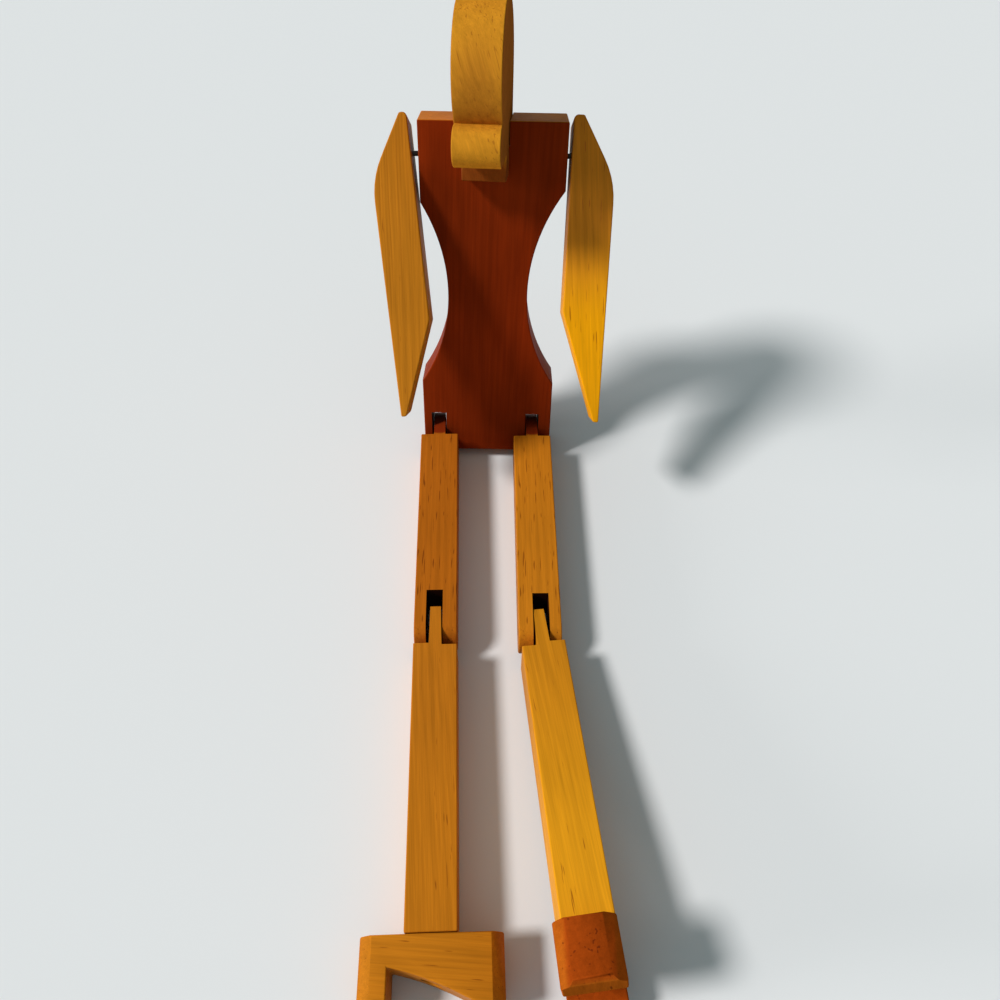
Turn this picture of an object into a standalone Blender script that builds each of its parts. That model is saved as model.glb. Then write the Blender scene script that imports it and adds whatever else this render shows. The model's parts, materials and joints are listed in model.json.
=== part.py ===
"""Wooden limberjack: a jointed dancing figure of pine boards that swings on wire nails.

The figure sits as it is set down: torso leaning back, arms a little forward of it, legs out in front.
Its origin is the mouth of the stick socket in the torso's back. +Z is up, the figure
faces -Y, and its right side is at -X. All lengths are in metres.
"""
import math
from typing import NamedTuple

import bmesh
import bpy

# Stock and fits
STOCK = 0.01905  # planed three-quarter inch pine, the thickness of every board and stick
GAP = 0.0003  # room between pieces that touch
EASE = 0.0006  # sanded rounding of outer edges
MARGIN = 0.003  # how far a cutter runs past the face it enters
ROUND_SIDES = 16  # sides of nails, pins and the holes they sit in
ARC_STEP = math.radians(9.0)  # most turn between two points of a sawn curve
ARC_CHORD = 0.004  # and the most length
SMOOTH_BELOW = math.radians(30.0)  # facets that meet at less than this are shaded as one curve
EASE_ABOVE = math.radians(40.0)  # edges sharper than this are sanded

# Torso board
LEAN = math.radians(18.0)  # backward lean of the seated torso
TORSO_LENGTH = 0.1615
WAIST_RADIUS = 0.082
WAIST_HEIGHT = 0.086  # from the hip edge to the narrowest place
HIP_SLOT_DEPTH = 0.022
HIP_PIN_HEIGHT = 0.0064
HIP_PIN_DEPTH = 0.0080  # behind the torso's face
HIP_PIN_LENGTH = 0.0185
PIN_RECESS = 0.0004  # pin ends sit this far below the wood
NAIL_HEIGHT = 0.146  # shoulder nails, from the hip edge
SOCKET_HEIGHT = 0.098
SOCKET_RADIUS = 0.0049  # takes a three-eighths inch dancing stick
SOCKET_DEPTH = 0.0125
HIP_PIN_SEAT = (HIP_PIN_DEPTH - STOCK, HIP_PIN_HEIGHT - SOCKET_HEIGHT)  # (y, z) in the torso
LAP_HEIGHT = 0.1515  # floor of the notch in the torso's top that the head drops into

# Head board, a profile sawn from the same stock; forward is measured from the torso's face
HEAD_OFFSET = -0.0006
HEAD_TURN = math.radians(-4.5)  # the face looks a little to the figure's right
FACE_CENTRE = (0.012, 0.182)  # (forward, height) of the rounded face
FACE_RADIUS = 0.0252
FACE_LOW_ANGLE = math.radians(-39.4)  # where the face ends at the mouth
JAW_CENTRE = (0.0325, 0.15825)
JAW_RADIUS = 0.00775
CROWN_RADIUS = 0.027  # rounded back of the head, which ends flush with the torso
NECK_FORWARD = 0.010
NECK_BOTTOM = 0.1396

# Arms
ARM_CREST = 0.015  # top of an arm above its nail
ARM_SWING = math.radians(23.0)  # how far the arms rest forward of the torso
TIP_WIDTH = 0.0024
SHOULDER_DROP = 0.020  # below the nail, where the outer edge starts to round over
SHOULDER_RADIUS = 0.036
SHOULDER_SLOPE = math.radians(30.0)
ARM_TOP_EASE = 0.0012
ARM_HOLE_RADIUS = 0.0016
NAIL_SINK_RADIUS = 0.0034  # counterbore that hides the nail's head

# Wire nails, pins and screws
NAIL_RADIUS = 0.0011
PIN_RADIUS = 0.0014
NAIL_BITE = 0.014  # length of the nail in the torso
NAIL_POINT = 0.004
NAIL_HEAD_REACH = 0.0080  # from the arm's inner face to the underside of the head
NAIL_HEAD_RADIUS = 0.0026
NAIL_HEAD_THICK = 0.001
PIN_BREAK = 0.0003  # broken edge at the ends of a pin
SCREW_RADIUS = 0.0016
SCREW_BITE = 0.020
SCREW_HEAD_RADIUS = 0.0032
SCREW_CROWN_RADIUS = 0.0022  # flat crown of the rounded screw head
SCREW_HEAD_THICK = 0.002
SCREW_HEAD_TOP = 0.0113  # underside of the head below the foot's top
COUNTERBORE_RADIUS = 0.004

# Legs
HIP_TONGUE = (0.0055, 0.0059)  # width at the tip and at the shoulders
KNEE_TONGUE = (0.0044, 0.0055)
HIP_SHOULDER = 0.0107  # square shoulders of a thigh below its pin
THIGH_REACH = 0.1186  # hip pin to knee pin
KNEE_HEEL_RADIUS = 0.005  # rounded back corner of the square knee tongue
LEG_HOLE_RADIUS = 0.0019  # loose hole in a tongue

# Feet, measured from the heel end and down from the top
FOOT_LENGTH = 0.0508
FOOT_WIDTH = 0.0213
HEEL_REACH = 0.025  # heel end to the leg's centre
HEEL_LENGTH = 0.0103
ARCH_RISE = 0.010  # depth of wood left at the back of the arch
ARCH_SLOPE = 0.22
ARCH_CURVE = 4.76  # second-order term of the arch, per metre
ARCH_STEPS = 8
TOE_BEVEL = 0.0016
FOOT_CORNER = 0.0046
ANKLE_GAP = 0.0004

# Colours of the finishes
HONEY_PINE = (0.52, 0.17, 0.015, 1.0)
AMBER_PINE = (0.48, 0.14, 0.012, 1.0)
RED_STAIN = (0.13, 0.012, 0.003, 1.0)
RUSSET_PINE = (0.30, 0.055, 0.006, 1.0)
DARK_STEEL = (0.05, 0.045, 0.04, 1.0)
SATIN = 0.4  # roughness


class Side(NamedTuple):
    """What differs between the figure's right (-X) and left (+X) as it sits."""

    name: str
    outward: int
    shoulder_edge: float
    waist_edge: float
    hip_edge: float
    arm_gap: float  # bare nail between torso and arm
    arm_width: float
    arm_tilt: float  # sideways turn of the arm on its loose nail, degrees
    arm_reach: float  # nail to tip
    elbow_drop: float  # below the nail, where the forearm starts to taper
    hip_x: float
    hip_slot: float  # width
    thigh_splay: float  # sideways turn of the thigh in its loose slot, degrees
    fork_slot: float  # width
    fork_depth: float
    fork_shift: float  # the fork's slot off the middle of the thigh
    knee_tongue: float  # square end of the knee tongue past its pin
    knee_shoulders: tuple[float, float]  # below the knee pin, at the -X and +X cheeks
    knee_lift: float  # rise of the shin above the thigh's line, degrees
    shin_splay: float
    shin_reach: float  # knee pin to ankle end
    foot_turn: float  # swivel of the foot on its screw, degrees
    foot_height: float


RIGHT = Side(
    name="right",
    outward=-1,
    shoulder_edge=-0.0305,
    waist_edge=-0.01905,
    hip_edge=-0.0330,
    arm_gap=0.0032,
    arm_width=0.0179,
    arm_tilt=-6.5,
    arm_reach=0.1130,
    elbow_drop=0.0710,
    hip_x=-0.0253,
    hip_slot=0.0076,
    thigh_splay=-2.4,
    fork_slot=0.0074,
    fork_depth=0.0248,
    fork_shift=-0.0006,
    knee_tongue=0.0070,
    knee_shoulders=(0.0110, 0.0118),
    knee_lift=0.4,
    shin_splay=-0.4,
    shin_reach=0.1224,
    foot_turn=90.0,
    foot_height=0.0222,
)
LEFT = Side(
    name="left",
    outward=1,
    shoulder_edge=0.0334,
    waist_edge=0.0182,
    hip_edge=0.0326,
    arm_gap=0.0018,
    arm_width=STOCK,
    arm_tilt=1.4,
    arm_reach=0.1148,
    elbow_drop=0.0664,
    hip_x=0.0230,
    hip_slot=0.0068,
    thigh_splay=-1.4,
    fork_slot=0.0073,
    fork_depth=0.0241,
    fork_shift=0.0006,
    knee_tongue=0.0060,
    knee_shoulders=(0.0128, 0.0112),
    knee_lift=7.2,
    shin_splay=-5.1,
    shin_reach=0.1244,
    foot_turn=-8.0,
    foot_height=0.0194,
)
SIDES = (RIGHT, LEFT)


def clear_scene():
    """Remove every object of the open file."""
    for item in list(bpy.data.objects):
        bpy.data.objects.remove(item, do_unlink=True)


def finish(name, colour, metallic=0.0):
    """Return a plain material of one colour."""
    surface = bpy.data.materials.new(name)
    surface.use_nodes = True
    shader = surface.node_tree.nodes["Principled BSDF"]
    shader.inputs["Base Color"].default_value = colour
    shader.inputs["Roughness"].default_value = SATIN
    shader.inputs["Metallic"].default_value = metallic
    surface.diffuse_color = colour
    return surface


def place(item, parent=None, location=(0.0, 0.0, 0.0), turn=(0.0, 0.0, 0.0)):
    """Link an object to the scene at a place and turn under its parent."""
    bpy.context.scene.collection.objects.link(item)
    item.parent = parent
    item.location = location
    item.rotation_euler = turn
    return item


def pivot(name, parent=None, location=(0.0, 0.0, 0.0), turn=(0.0, 0.0, 0.0)):
    """Return an empty that carries pieces, with its origin on their axis."""
    return place(bpy.data.objects.new(name, None), parent, location, turn)


def arc(centre, radius, start, end):
    """Return points on a circle from one angle to another, both ends included."""
    turn = abs(end - start)
    count = max(2, math.ceil(turn / ARC_STEP), math.ceil(turn * radius / ARC_CHORD))
    angles = [start + (end - start) * step / count for step in range(count + 1)]
    return [(centre[0] + radius * math.cos(a), centre[1] + radius * math.sin(a)) for a in angles]


def circle(radius):
    """Return the outline of a round hole or pin."""
    turns = [2.0 * math.pi * step / ROUND_SIDES for step in range(ROUND_SIDES)]
    return [(radius * math.cos(a), radius * math.sin(a)) for a in turns]


def prism(name, outline, axis, low, high):
    """Return an object made by extruding an outline along one axis.

    The outline holds (y, z) points for axis x, (x, z) for y and (x, y) for z.
    """
    order = {"x": (2, 0, 1), "y": (0, 2, 1), "z": (0, 1, 2)}[axis]

    def point(first, second, along):
        values = (first, second, along)
        return tuple(values[i] for i in order)

    build = bmesh.new()
    rim = [build.verts.new(point(first, second, low)) for first, second in outline]
    face = build.faces.new(rim)
    swept = bmesh.ops.extrude_face_region(build, geom=[face])["geom"]
    moved = [item for item in swept if isinstance(item, bmesh.types.BMVert)]
    bmesh.ops.translate(build, verts=moved, vec=point(0.0, 0.0, high - low))
    bmesh.ops.recalc_face_normals(build, faces=build.faces)
    return mesh_object(name, build)


def turned(name, profile, axis):
    """Return an object turned about an axis from (radius, along) rings, its ends closed flat."""
    order = {"x": (2, 0, 1), "z": (0, 1, 2)}[axis]
    build = bmesh.new()
    rings = []
    for radius, along in profile:
        ring = []
        for first, second in circle(radius):
            values = (first, second, along)
            ring.append(build.verts.new(tuple(values[i] for i in order)))
        rings.append(ring)
    for near, far in zip(rings, rings[1:]):
        for k in range(ROUND_SIDES):
            after = (k + 1) % ROUND_SIDES
            build.faces.new((near[k], near[after], far[after], far[k]))
    build.faces.new(rings[0])
    build.faces.new(rings[-1])
    bmesh.ops.recalc_face_normals(build, faces=build.faces)
    return mesh_object(name, build)


def mesh_object(name, build):
    """Turn a finished bmesh into an object with smooth curves and crisp edges."""
    mesh = bpy.data.meshes.new(name)
    build.to_mesh(mesh)
    build.free()
    mesh.shade_smooth()
    mesh.set_sharp_from_angle(angle=SMOOTH_BELOW)
    return bpy.data.objects.new(name, mesh)


def ease(body, width=EASE):
    """Round a board's outer edges over, as sanding does."""
    step = body.modifiers.new("eased_edges", "BEVEL")
    step.width = width
    step.segments = 2
    step.limit_method = "ANGLE"
    step.angle_limit = EASE_ABOVE


def cut(body, cutter, operation="DIFFERENCE"):
    """Cut a body with a hidden cutter, or keep only what lies inside it."""
    step = body.modifiers.new(cutter.name, "BOOLEAN")
    step.operation = operation
    step.solver = "EXACT"
    step.object = cutter
    cutter.hide_render = True
    cutter.display_type = "WIRE"


def dress(body, surface):
    """Give a piece its one material."""
    body.data.materials.append(surface)
    return body


def rectangle(first_low, first_high, second_low, second_high):
    """Return the four corners of a rectangle."""
    return [
        (first_low, second_low),
        (first_high, second_low),
        (first_high, second_high),
        (first_low, second_high),
    ]


def torso_outline():
    """Return the board's outline: straight hips and shoulders joined by hollow waists."""

    def waist(side):
        middle = side.waist_edge + side.outward * WAIST_RADIUS
        hip = math.acos((middle - side.hip_edge) * side.outward / WAIST_RADIUS)
        shoulder = math.acos((middle - side.shoulder_edge) * side.outward / WAIST_RADIUS)
        points = arc((0.0, WAIST_HEIGHT), WAIST_RADIUS, -hip, shoulder)
        return [(middle - side.outward * x, z) for x, z in points]

    outline = [(RIGHT.hip_edge, 0.0), (LEFT.hip_edge, 0.0)]
    outline += waist(LEFT)
    outline += [(LEFT.shoulder_edge, TORSO_LENGTH), (RIGHT.shoulder_edge, TORSO_LENGTH)]
    outline += reversed(waist(RIGHT))
    return [(x, z - SOCKET_HEIGHT) for x, z in outline]


def make_torso(stand, head_seat, surface):
    """Make the torso board with hip slots, pin and nail holes, stick socket and head notch."""
    torso = ease_and_dress(prism("torso", torso_outline(), "y", -STOCK, 0.0), surface)
    place(torso, stand)
    for side in SIDES:
        slot = rectangle(
            side.hip_x - side.hip_slot / 2,
            side.hip_x + side.hip_slot / 2,
            -SOCKET_HEIGHT - MARGIN,
            HIP_SLOT_DEPTH - SOCKET_HEIGHT,
        )
        saw = prism(f"{side.name}_hip_slot_cutter", slot, "y", -STOCK - MARGIN, MARGIN)
        cut(torso, place(saw, stand))
        depth = side.outward * (HIP_PIN_LENGTH + PIN_RECESS + GAP)
        mouth = side.hip_edge + side.outward * MARGIN
        bit = drill(f"{side.name}_hip_pin_cutter", PIN_RADIUS + GAP, mouth, side.hip_edge - depth)
        cut(torso, place(bit, stand, (0.0, *HIP_PIN_SEAT)))
        mouth = side.shoulder_edge + side.outward * MARGIN
        floor = side.shoulder_edge - side.outward * (NAIL_BITE + GAP)
        bit = drill(f"{side.name}_nail_cutter", NAIL_RADIUS + GAP, mouth, floor)
        cut(torso, place(bit, stand, (0.0, -STOCK / 2, NAIL_HEIGHT - SOCKET_HEIGHT)))
    socket = prism("stick_socket_cutter", circle(SOCKET_RADIUS), "y", -SOCKET_DEPTH, MARGIN)
    cut(torso, place(socket, stand))
    half = STOCK / 2 + GAP
    notch = rectangle(-half, half, LAP_HEIGHT - TORSO_LENGTH, MARGIN)
    saw = prism("head_notch_cutter", notch, "y", -STOCK, STOCK)
    cut(torso, place(saw, head_seat))
    return torso


def ease_and_dress(body, surface):
    """Ease a wooden piece's edges and give it its material."""
    ease(body)
    return dress(body, surface)


def drill(name, radius, start, end):
    """Return a round cutter along x between two places."""
    return prism(name, circle(radius), "x", min(start, end), max(start, end))


def head_outline():
    """Return the head's profile as (forward, height): rounded face, mouth, jaw, neck and nape."""
    face = arc(FACE_CENTRE, FACE_RADIUS, FACE_LOW_ANGLE, math.pi / 2)
    top = FACE_CENTRE[1] + FACE_RADIUS
    nape = GAP - STOCK
    crown = arc((nape + CROWN_RADIUS, top - CROWN_RADIUS), CROWN_RADIUS, math.pi / 2, math.pi)
    throat = JAW_CENTRE[1] - JAW_RADIUS
    neck = [(nape, NECK_BOTTOM), (NECK_FORWARD, NECK_BOTTOM), (NECK_FORWARD, throat)]
    jaw = arc(JAW_CENTRE, JAW_RADIUS, -math.pi / 2, math.pi / 2)
    return face + crown + neck + jaw


def make_head(stand, head_seat, surface):
    """Make the head board and saw the slot that straddles the torso's top."""
    outline = [(-forward - STOCK / 2, height - TORSO_LENGTH) for forward, height in head_outline()]
    head = ease_and_dress(prism("head", outline, "x", -STOCK / 2, STOCK / 2), surface)
    place(head, head_seat)
    slot = rectangle(-STOCK - GAP, GAP, NECK_BOTTOM - MARGIN, LAP_HEIGHT + GAP)
    slot = [(y, z - SOCKET_HEIGHT) for y, z in slot]
    saw = prism("torso_saddle_cutter", slot, "x", -STOCK, STOCK)
    cut(head, place(saw, stand))
    return head


def arm_outline(side):
    """Return an arm's outline round its nail: rounded-over shoulder, elbow and tapered forearm."""
    bend = (side.arm_width - SHOULDER_RADIUS, -SHOULDER_DROP)
    shoulder = arc(bend, SHOULDER_RADIUS, 0.0, SHOULDER_SLOPE)
    slope_x, slope_z = shoulder[-1]
    crest_x = slope_x - (ARM_CREST - slope_z) * math.tan(SHOULDER_SLOPE)
    outline = [(side.arm_width - TIP_WIDTH, -side.arm_reach), (side.arm_width, -side.arm_reach)]
    outline += shoulder
    outline += [(crest_x, ARM_CREST), (ARM_TOP_EASE, ARM_CREST), (0.0, ARM_CREST - ARM_TOP_EASE)]
    outline += [(0.0, -side.elbow_drop)]
    return [(side.outward * x, z) for x, z in outline]


def make_arm(side, stand, surface, steel):
    """Make one arm and the wire nail that it swings on."""
    inner = side.shoulder_edge + side.outward * side.arm_gap
    height = NAIL_HEIGHT - SOCKET_HEIGHT
    seat = (inner, -STOCK / 2, height)
    shoulder = pivot(f"{side.name}_shoulder", stand, seat, (-ARM_SWING, 0.0, 0.0))
    outline = arm_outline(side)
    arm = ease_and_dress(prism(f"{side.name}_arm", outline, "y", -STOCK / 2, STOCK / 2), surface)
    place(arm, shoulder, turn=(0.0, math.radians(side.arm_tilt), 0.0))
    bit = drill(f"{side.name}_arm_hole_cutter", ARM_HOLE_RADIUS, -STOCK, STOCK)
    cut(arm, place(bit, shoulder))
    floor = side.outward * (NAIL_HEAD_REACH - GAP)
    sink = drill(f"{side.name}_nail_sink_cutter", NAIL_SINK_RADIUS, floor, side.outward * 2 * STOCK)
    cut(arm, place(sink, shoulder))
    point = -side.arm_gap - NAIL_BITE
    head_top = NAIL_HEAD_REACH + NAIL_HEAD_THICK
    profile = [
        (NAIL_RADIUS / 4, side.outward * point),
        (NAIL_RADIUS, side.outward * (point + NAIL_POINT)),
        (NAIL_RADIUS, side.outward * NAIL_HEAD_REACH),
        (NAIL_HEAD_RADIUS, side.outward * NAIL_HEAD_REACH),
        (NAIL_HEAD_RADIUS, side.outward * head_top),
    ]
    nail = dress(turned(f"{side.name}_shoulder_nail", profile, "x"), steel)
    place(nail, stand, seat)


def saw_tongue(stick, widths, shoulders):
    """Saw both cheeks off a stick's top end, which leaves a tapered tongue and square shoulders."""
    top = STOCK / 2 + MARGIN
    tip, base = widths
    for number, (outward, shoulder) in enumerate(zip((-1, 1), shoulders)):
        cheek = [
            (outward * tip / 2, top),
            (outward * STOCK, top),
            (outward * STOCK, -shoulder),
            (outward * base / 2, -shoulder),
        ]
        saw = prism(f"{stick.name}_cheek_cutter_{number}", cheek, "y", -STOCK, STOCK)
        cut(stick, place(saw, stick))
    bit = drill(f"{stick.name}_tongue_hole_cutter", LEG_HOLE_RADIUS, -STOCK, STOCK)
    cut(stick, place(bit, stick))


def make_pin(name, low, high, steel):
    """Return a wire pin along x with lightly broken ends."""
    profile = [
        (PIN_RADIUS - PIN_BREAK, low),
        (PIN_RADIUS, low + PIN_BREAK),
        (PIN_RADIUS, high - PIN_BREAK),
        (PIN_RADIUS - PIN_BREAK, high),
    ]
    return dress(turned(name, profile, "x"), steel)


def make_thigh(side, stand, surface, steel):
    """Make a thigh with its hip tongue, knee fork and both pins; return it."""
    seat = (side.hip_x, *HIP_PIN_SEAT)
    hip = pivot(f"{side.name}_hip", stand, seat, (LEAN - math.pi / 2, 0.0, 0.0))
    half = STOCK / 2
    profile = arc((0.0, 0.0), half, 0.0, math.pi)
    profile += arc((0.0, -THIGH_REACH), half, math.pi, 2.0 * math.pi)
    thigh = ease_and_dress(prism(f"{side.name}_thigh", profile, "x", -half, half), surface)
    place(thigh, hip, turn=(0.0, math.radians(side.thigh_splay), 0.0))
    saw_tongue(thigh, HIP_TONGUE, (HIP_SHOULDER, HIP_SHOULDER))
    fork_end = -THIGH_REACH - half
    room = side.fork_slot / 2
    slot = rectangle(-room, room, fork_end - MARGIN, fork_end + side.fork_depth)
    saw = prism(f"{side.name}_fork_cutter", slot, "y", -STOCK, STOCK)
    cut(thigh, place(saw, thigh, (side.fork_shift, 0.0, 0.0)))
    bit = drill(f"{side.name}_knee_pin_cutter", PIN_RADIUS + GAP, -STOCK, STOCK)
    cut(thigh, place(bit, thigh, (0.0, 0.0, -THIGH_REACH)))
    outer = side.hip_edge - side.outward * PIN_RECESS - side.hip_x
    inner = outer - side.outward * HIP_PIN_LENGTH
    place(make_pin(f"{side.name}_hip_pin", min(outer, inner), max(outer, inner), steel), stand, seat)
    reach = half - PIN_RECESS
    place(make_pin(f"{side.name}_knee_pin", -reach, reach, steel), thigh, (0.0, 0.0, -THIGH_REACH))
    return thigh


def make_shin(side, thigh, surface):
    """Make a shin with its knee tongue and the pilot hole of the foot's screw; return it."""
    lift = (-math.radians(side.knee_lift), 0.0, 0.0)
    knee = pivot(f"{side.name}_knee", thigh, (0.0, 0.0, -THIGH_REACH), lift)
    half = STOCK / 2
    heel = (half - KNEE_HEEL_RADIUS, side.knee_tongue - KNEE_HEEL_RADIUS)
    profile = [(-half, side.knee_tongue), (-half, -side.shin_reach), (half, -side.shin_reach)]
    profile += arc(heel, KNEE_HEEL_RADIUS, 0.0, math.pi / 2)
    shin = ease_and_dress(prism(f"{side.name}_shin", profile, "x", -half, half), surface)
    place(shin, knee, turn=(0.0, math.radians(side.shin_splay), 0.0))
    saw_tongue(shin, KNEE_TONGUE, side.knee_shoulders)
    pilot = circle(SCREW_RADIUS + GAP)
    bit = prism(f"{side.name}_pilot_cutter", pilot, "z", -MARGIN, SCREW_BITE + GAP)
    cut(shin, place(bit, shin, (0.0, 0.0, -side.shin_reach)))
    return shin


def foot_outline(height):
    """Return the foot's side view (y, z): heel block, scooped arch and bevelled toe."""

    def arch(along):
        run = along - HEEL_LENGTH
        return ARCH_RISE + ARCH_SLOPE * run + ARCH_CURVE * run * run

    fall = height - ARCH_RISE
    spread = math.sqrt(ARCH_SLOPE**2 + 4.0 * ARCH_CURVE * fall)
    ball = HEEL_LENGTH + (spread - ARCH_SLOPE) / (2.0 * ARCH_CURVE)
    steps = [HEEL_LENGTH + (ball - HEEL_LENGTH) * k / ARCH_STEPS for k in range(ARCH_STEPS)]
    outline = [(0.0, 0.0), (0.0, height), (HEEL_LENGTH, height)]
    outline += [(along, arch(along)) for along in steps]
    outline += [
        (ball, height),
        (FOOT_LENGTH - TOE_BEVEL, height),
        (FOOT_LENGTH, height - TOE_BEVEL),
        (FOOT_LENGTH, 0.0),
    ]
    return [(HEEL_REACH - along, -ANKLE_GAP - down) for along, down in outline]


def make_foot(side, shin, surface, steel):
    """Make a foot that swivels on one screw driven up into the shin."""
    turn = (0.0, 0.0, math.radians(side.foot_turn))
    ankle = pivot(f"{side.name}_ankle", shin, (0.0, 0.0, -side.shin_reach), turn)
    half = FOOT_WIDTH / 2
    outline = foot_outline(side.foot_height)
    foot = ease_and_dress(prism(f"{side.name}_foot", outline, "x", -half, half), surface)
    place(foot, ankle)
    toe = HEEL_REACH - FOOT_LENGTH
    plan = [
        (-half, toe + FOOT_CORNER),
        (FOOT_CORNER - half, toe),
        (half - FOOT_CORNER, toe),
        (half, toe + FOOT_CORNER),
        (half, HEEL_REACH - FOOT_CORNER),
        (half - FOOT_CORNER, HEEL_REACH),
        (FOOT_CORNER - half, HEEL_REACH),
        (-half, HEEL_REACH - FOOT_CORNER),
    ]
    low = -ANKLE_GAP - side.foot_height - MARGIN
    corners = prism(f"{side.name}_foot_corner_cutter", plan, "z", low, MARGIN)
    cut(foot, place(corners, ankle), "INTERSECT")
    hole = prism(f"{side.name}_foot_hole_cutter", circle(SCREW_RADIUS + GAP), "z", low, MARGIN)
    cut(foot, place(hole, ankle))
    seat = -ANKLE_GAP - SCREW_HEAD_TOP
    bore = prism(f"{side.name}_counterbore_cutter", circle(COUNTERBORE_RADIUS), "z", low, seat + GAP)
    cut(foot, place(bore, ankle))
    profile = [
        (SCREW_CROWN_RADIUS, seat - SCREW_HEAD_THICK),
        (SCREW_HEAD_RADIUS, seat - SCREW_HEAD_THICK / 2),
        (SCREW_HEAD_RADIUS, seat),
        (SCREW_RADIUS, seat),
        (SCREW_RADIUS, SCREW_BITE - NAIL_POINT),
        (SCREW_RADIUS / 4, SCREW_BITE),
    ]
    screw = dress(turned(f"{side.name}_foot_screw", profile, "z"), steel)
    place(screw, shin, (0.0, 0.0, -side.shin_reach))


def main():
    """Build the figure from its torso out to its feet."""
    clear_scene()
    steel = finish("dark_steel", DARK_STEEL, 1.0)
    honey = finish("honey_pine", HONEY_PINE)
    amber = finish("amber_pine", AMBER_PINE)
    russet = finish("russet_pine", RUSSET_PINE)
    stain = finish("red_stain", RED_STAIN)
    stand = pivot("torso_stand", turn=(-LEAN, 0.0, 0.0))
    top = TORSO_LENGTH - SOCKET_HEIGHT
    head_seat = pivot("head_seat", stand, (HEAD_OFFSET, -STOCK / 2, top), (0.0, 0.0, HEAD_TURN))
    make_torso(stand, head_seat, stain)
    make_head(stand, head_seat, honey)
    for side in SIDES:
        make_arm(side, stand, honey, steel)
        thigh = make_thigh(side, stand, amber, steel)
        shin = make_shin(side, thigh, amber)
        make_foot(side, shin, honey if side is RIGHT else russet, steel)


main()
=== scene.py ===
"""Looks of a seated wooden limberjack: varnished pine, a stained torso board and wire nails.

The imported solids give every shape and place. Each wooden piece is a softened copy of its
solid, with grain that follows its own board. Nails, pins and screws are modelled anew.
"""

import json
import logging
import math
from collections.abc import Iterator, Sequence
from contextlib import contextmanager
from dataclasses import dataclass, replace
from enum import Enum

import bpy
import numpy as np
from mathutils import Matrix, Vector
from mathutils.bvhtree import BVHTree


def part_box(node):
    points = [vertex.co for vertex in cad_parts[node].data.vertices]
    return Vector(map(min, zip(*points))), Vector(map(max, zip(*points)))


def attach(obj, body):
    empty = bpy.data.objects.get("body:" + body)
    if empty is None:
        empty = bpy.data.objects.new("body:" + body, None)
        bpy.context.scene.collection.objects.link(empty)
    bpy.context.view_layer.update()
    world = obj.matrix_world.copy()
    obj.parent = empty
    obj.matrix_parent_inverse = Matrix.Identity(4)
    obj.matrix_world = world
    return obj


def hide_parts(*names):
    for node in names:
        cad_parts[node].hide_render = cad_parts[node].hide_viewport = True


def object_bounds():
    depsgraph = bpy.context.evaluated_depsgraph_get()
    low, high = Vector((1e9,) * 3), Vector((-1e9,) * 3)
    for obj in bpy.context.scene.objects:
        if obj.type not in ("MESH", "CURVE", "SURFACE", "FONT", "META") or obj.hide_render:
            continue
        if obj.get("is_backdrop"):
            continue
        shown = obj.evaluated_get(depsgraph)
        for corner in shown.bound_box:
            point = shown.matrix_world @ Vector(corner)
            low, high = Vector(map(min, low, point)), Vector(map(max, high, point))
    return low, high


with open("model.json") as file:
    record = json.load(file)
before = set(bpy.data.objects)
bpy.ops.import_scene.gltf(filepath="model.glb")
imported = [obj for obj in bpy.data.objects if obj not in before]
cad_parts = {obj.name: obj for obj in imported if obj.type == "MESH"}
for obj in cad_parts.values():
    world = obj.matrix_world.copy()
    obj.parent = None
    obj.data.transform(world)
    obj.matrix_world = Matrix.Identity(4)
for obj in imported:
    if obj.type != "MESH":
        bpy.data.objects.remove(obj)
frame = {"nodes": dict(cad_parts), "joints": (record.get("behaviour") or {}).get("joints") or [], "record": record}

log = logging.getLogger("limberjack")
Colour = tuple[float, float, float, float]
Profile = Sequence[tuple[float, float]]

WELD = 1e-5  # points closer than this are one
FLAT_BELOW = math.radians(0.5)  # facets that meet at less than this are one plane
SMOOTH_BELOW = math.radians(50.0)
EASED_STRIP = 0.0008  # faces narrower than this are sanded edges
RUB = "rub"  # face attribute: 1 on sanded edges
PAINTED_HOLLOW_SHADE = "hollow_shade"  # face attribute: share of the view that the piece's own walls close off, used to paint shade into slots and holes
SHADE_RAY_REACH = 0.02
SHADE_RAYS = 48
MILLIMETRE = 0.001
LEFTWARD = Vector((1.0, 0.0, 0.0))  # to the figure's left
UPWARD = Vector((0.0, 0.0, 1.0))
MIX_SHARE, MIX_FIRST, MIX_SECOND, MIX_RESULT = 0, 6, 7, 2  # colour sockets of a Mix node

# Grains of noise for each millimetre across a board, through it and along its fibres
FIBRES = (2.4, 2.4, 0.05)
STREAKS = (0.55, 0.55, 0.018)
PATCHES = (0.06, 0.06, 0.022)
GLOSS = (0.12, 0.12, 0.03)
RING_WANDER = (0.09, 0.09, 0.01)
RING_FADING = (0.5, 0.5, 0.02)
FLECK_CROWDS = (0.11, 0.11, 0.03)
RUBBED_SPOTS = (0.35, 0.35, 0.12)
RUST_SPOTS = (0.9, 0.9, 0.9)

# Where a smooth step starts and ends
SMEAR_FACING = (0.4, 0.9)
END_FACING = (0.45, 0.9)
HOLLOW_SHADE_STEP = (0.22, 0.5)
RING_LINE = (0.35, 0.88)
RING_EDGE = (1.0, 0.9)
RING_SEEN = (0.36, 0.7)
RUBBED_STEP = (0.3, 0.6)
RUST_STEP = (0.5, 0.7)


class Side(Enum):
    """The figure's own right (-X) and left (+X)."""

    RIGHT = "right"
    LEFT = "left"

    @property
    def outward(self) -> int:
        """Direction along X away from the figure's middle."""
        return -1 if self is Side.RIGHT else 1

    def node(self, piece: str) -> str:
        """Name of this side's solid of a kind."""
        return f"{self.value}_{piece}"


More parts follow.
